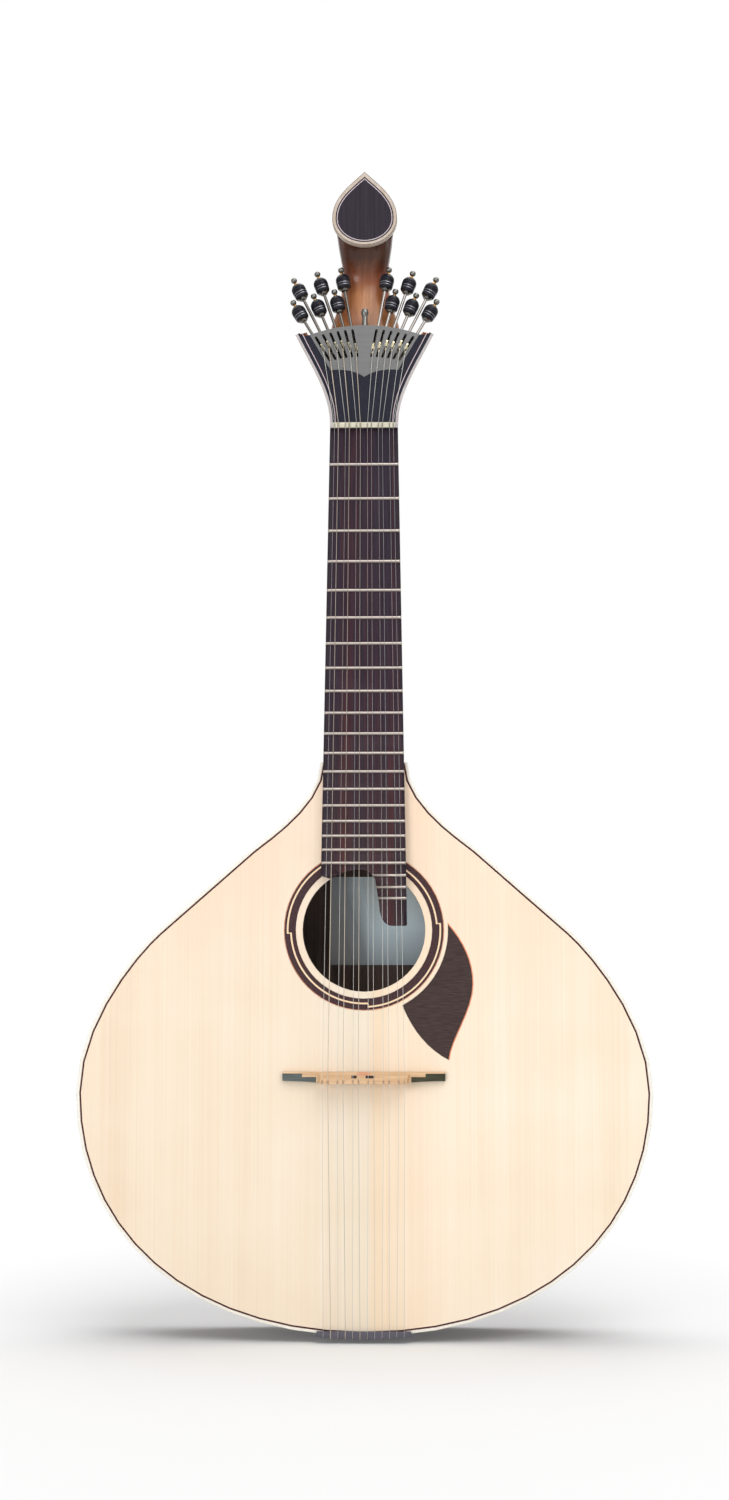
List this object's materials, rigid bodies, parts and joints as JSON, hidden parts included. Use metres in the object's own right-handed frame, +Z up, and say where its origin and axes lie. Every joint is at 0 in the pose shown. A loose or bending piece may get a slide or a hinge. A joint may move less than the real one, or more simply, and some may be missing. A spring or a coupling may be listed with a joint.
{
  "type": "portuguese guitar",
  "caption": "Pear-shaped guitar with paired steel strings, flat top and arched back, slim neck, a fan of tuning screws on the head and a teardrop finial.",
  "frame": {"origin": "tail end of the body on the centre line, in the plane of the soundboard's front face: the point that a display stand's cradle holds up", "axes": "+Z up along the neck from tail to finial, +Y to the back of the instrument so that the strings face -Y, +X to the treble side, on the right as seen from the front"},
  "size_m": [0.4072, 0.1018, 0.8427],
  "materials": {
    "spruce": "clear satin lacquer over pale straight-grained spruce",
    "bar_spruce": "bare planed spruce",
    "rosewood": "gloss lacquer over dark red-brown rosewood",
    "cedar": "gloss lacquer over red-brown neck wood",
    "lining_wood": "bare light wood",
    "fingerboard_wood": "oiled dark wood with metal frets",
    "ebony": "satin black veneer with fine light lines",
    "bone": "polished bone",
    "binding": "gloss light maple strip",
    "bridge_wood": "satin light brown wood with dark caps",
    "nickel": "satin nickel plate",
    "screw_nickel": "nickel screws with dark gloss knobs and small bright balls",
    "brass": "polished brass",
    "tailpiece_steel": "dark blued plate",
    "string_steel": "plain and wound steel strings"
  },
  "bodies": {
    "instrument": {"soundboard": "spruce", "rosette": "rosewood", "scratch_guard": "rosewood", "back": "rosewood", "edge_binding": "binding", "rib_bass": "rosewood", "rib_treble": "rosewood", "lining_top": "lining_wood", "lining_back": "lining_wood", "tail_block": "lining_wood", "top_bar_upper": "bar_spruce", "top_bar_middle": "bar_spruce", "top_bar_lower": "bar_spruce", "back_bar_upper": "bar_spruce", "back_bar_lower": "bar_spruce", "fingerboard": "fingerboard_wood", "nut": "bone", "neck": "cedar", "finial_face": "ebony", "head_veneer": "ebony", "fan_plate": "nickel", "fan_frame": "nickel", "bridge": "bridge_wood", "tailpiece": "tailpiece_steel", "string_01": "string_steel", "string_02": "string_steel", "string_03": "string_steel", "string_04": "string_steel", "string_05": "string_steel", "string_06": "string_steel", "string_07": "string_steel", "string_08": "string_steel", "string_09": "string_steel", "string_10": "string_steel", "string_11": "string_steel", "string_12": "string_steel"},
    "screw_01": {"tuning_screw_01": "screw_nickel"},
    "carriage_01": {"hook_01": "brass"},
    "screw_02": {"tuning_screw_02": "screw_nickel"},
    "carriage_02": {"hook_02": "brass"},
    "screw_03": {"tuning_screw_03": "screw_nickel"},
    "carriage_03": {"hook_03": "brass"},
    "screw_04": {"tuning_screw_04": "screw_nickel"},
    "carriage_04": {"hook_04": "brass"},
    "screw_05": {"tuning_screw_05": "screw_nickel"},
    "carriage_05": {"hook_05": "brass"},
    "screw_06": {"tuning_screw_06": "screw_nickel"},
    "carriage_06": {"hook_06": "brass"},
    "screw_07": {"tuning_screw_07": "screw_nickel"},
    "carriage_07": {"hook_07": "brass"},
    "screw_08": {"tuning_screw_08": "screw_nickel"},
    "carriage_08": {"hook_08": "brass"},
    "screw_09": {"tuning_screw_09": "screw_nickel"},
    "carriage_09": {"hook_09": "brass"},
    "screw_10": {"tuning_screw_10": "screw_nickel"},
    "carriage_10": {"hook_10": "brass"},
    "screw_11": {"tuning_screw_11": "screw_nickel"},
    "carriage_11": {"hook_11": "brass"},
    "screw_12": {"tuning_screw_12": "screw_nickel"},
    "carriage_12": {"hook_12": "brass"}
  },
  "joints": [
    {"name": "screw_turn_01", "type": "hinge", "parent": "instrument", "child": "screw_01", "pos_m": [-0.0372, 0.017, 0.71641], "axis": [-0.4924, 0.1511, 0.8571], "range_deg": [-3540, 4620]},
    {"name": "hook_slide_01", "type": "slide", "parent": "instrument", "child": "carriage_01", "axis": [-0.4924, 0.1511, 0.8571], "range_m": [-0.009, 0.0069], "deforming": ["string_01"]},
    {"name": "screw_turn_02", "type": "hinge", "parent": "instrument", "child": "screw_02", "pos_m": [-0.03165, 0.01731, 0.71816], "axis": [-0.4321, 0.1566, 0.8881], "range_deg": [-2930, 5240]},
    {"name": "hook_slide_02", "type": "slide", "parent": "instrument", "child": "carriage_02", "axis": [-0.4321, 0.1566, 0.8881], "range_m": [-0.0102, 0.0057], "deforming": ["string_02"]},
    {"name": "screw_turn_03", "type": "hinge", "parent": "instrument", "child": "screw_03", "pos_m": [-0.02609, 0.01756, 0.7196], "axis": [-0.3697, 0.1613, 0.915], "range_deg": [-4060, 4110]},
    {"name": "hook_slide_03", "type": "slide", "parent": "instrument", "child": "carriage_03", "axis": [-0.3697, 0.1613, 0.915], "range_m": [-0.008, 0.0079], "deforming": ["string_03"]},
    {"name": "screw_turn_04", "type": "hinge", "parent": "instrument", "child": "screw_04", "pos_m": [-0.02052, 0.01776, 0.72076], "axis": [-0.3057, 0.1653, 0.9377], "range_deg": [-3960, 4210]},
    {"name": "hook_slide_04", "type": "slide", "parent": "instrument", "child": "carriage_04", "axis": [-0.3057, 0.1653, 0.9377], "range_m": [-0.0082, 0.0077], "deforming": ["string_04"]},
    {"name": "screw_turn_05", "type": "hinge", "parent": "instrument", "child": "screw_05", "pos_m": [-0.01496, 0.01792, 0.72163], "axis": [-0.2402, 0.1686, 0.956], "range_deg": [-5040, 3130]},
    {"name": "hook_slide_05", "type": "slide", "parent": "instrument", "child": "carriage_05", "axis": [-0.2402, 0.1686, 0.956], "range_m": [-0.0061, 0.0098], "deforming": ["string_05"]},
    {"name": "screw_turn_06", "type": "hinge", "parent": "instrument", "child": "screw_06", "pos_m": [-0.00939, 0.01802, 0.72222], "axis": [-0.1736, 0.171, 0.9698], "range_deg": [-5650, 2520]},
    {"name": "hook_slide_06", "type": "slide", "parent": "instrument", "child": "carriage_06", "axis": [-0.1736, 0.171, 0.9698], "range_m": [-0.0049, 0.011], "deforming": ["string_06"]},
    {"name": "screw_turn_07", "type": "hinge", "parent": "instrument", "child": "screw_07", "pos_m": [0.00939, 0.01802, 0.72222], "axis": [0.1736, 0.171, 0.9698], "range_deg": [-5650, 2520]},
    {"name": "hook_slide_07", "type": "slide", "parent": "instrument", "child": "carriage_07", "axis": [0.1736, 0.171, 0.9698], "range_m": [-0.0049, 0.011], "deforming": ["string_07"]},
    {"name": "screw_turn_08", "type": "hinge", "parent": "instrument", "child": "screw_08", "pos_m": [0.01496, 0.01792, 0.72163], "axis": [0.2402, 0.1686, 0.956], "range_deg": [-5040, 3130]},
    {"name": "hook_slide_08", "type": "slide", "parent": "instrument", "child": "carriage_08", "axis": [0.2402, 0.1686, 0.956], "range_m": [-0.0061, 0.0098], "deforming": ["string_08"]},
    {"name": "screw_turn_09", "type": "hinge", "parent": "instrument", "child": "screw_09", "pos_m": [0.02052, 0.01776, 0.72076], "axis": [0.3057, 0.1653, 0.9377], "range_deg": [-3960, 4210]},
    {"name": "hook_slide_09", "type": "slide", "parent": "instrument", "child": "carriage_09", "axis": [0.3057, 0.1653, 0.9377], "range_m": [-0.0082, 0.0077], "deforming": ["string_09"]},
    {"name": "screw_turn_10", "type": "hinge", "parent": "instrument", "child": "screw_10", "pos_m": [0.02609, 0.01756, 0.7196], "axis": [0.3697, 0.1613, 0.915], "range_deg": [-4060, 4110]},
    {"name": "hook_slide_10", "type": "slide", "parent": "instrument", "child": "carriage_10", "axis": [0.3697, 0.1613, 0.915], "range_m": [-0.008, 0.0079], "deforming": ["string_10"]},
    {"name": "screw_turn_11", "type": "hinge", "parent": "instrument", "child": "screw_11", "pos_m": [0.03165, 0.01731, 0.71816], "axis": [0.4321, 0.1566, 0.8881], "range_deg": [-2930, 5240]},
    {"name": "hook_slide_11", "type": "slide", "parent": "instrument", "child": "carriage_11", "axis": [0.4321, 0.1566, 0.8881], "range_m": [-0.0102, 0.0057], "deforming": ["string_11"]},
    {"name": "screw_turn_12", "type": "hinge", "parent": "instrument", "child": "screw_12", "pos_m": [0.0372, 0.017, 0.71641], "axis": [0.4924, 0.1511, 0.8571], "range_deg": [-3540, 4620]},
    {"name": "hook_slide_12", "type": "slide", "parent": "instrument", "child": "carriage_12", "axis": [0.4924, 0.1511, 0.8571], "range_m": [-0.009, 0.0069], "deforming": ["string_12"]}
  ],
  "couplings": [
    {"joint": "hook_slide_01", "follows": "screw_turn_01", "m_per_rad": -0.00011141},
    {"joint": "hook_slide_02", "follows": "screw_turn_02", "m_per_rad": -0.00011141},
    {"joint": "hook_slide_03", "follows": "screw_turn_03", "m_per_rad": -0.00011141},
    {"joint": "hook_slide_04", "follows": "screw_turn_04", "m_per_rad": -0.00011141},
    {"joint": "hook_slide_05", "follows": "screw_turn_05", "m_per_rad": -0.00011141},
    {"joint": "hook_slide_06", "follows": "screw_turn_06", "m_per_rad": -0.00011141},
    {"joint": "hook_slide_07", "follows": "screw_turn_07", "m_per_rad": -0.00011141},
    {"joint": "hook_slide_08", "follows": "screw_turn_08", "m_per_rad": -0.00011141},
    {"joint": "hook_slide_09", "follows": "screw_turn_09", "m_per_rad": -0.00011141},
    {"joint": "hook_slide_10", "follows": "screw_turn_10", "m_per_rad": -0.00011141},
    {"joint": "hook_slide_11", "follows": "screw_turn_11", "m_per_rad": -0.00011141},
    {"joint": "hook_slide_12", "follows": "screw_turn_12", "m_per_rad": -0.00011141}
  ]
}
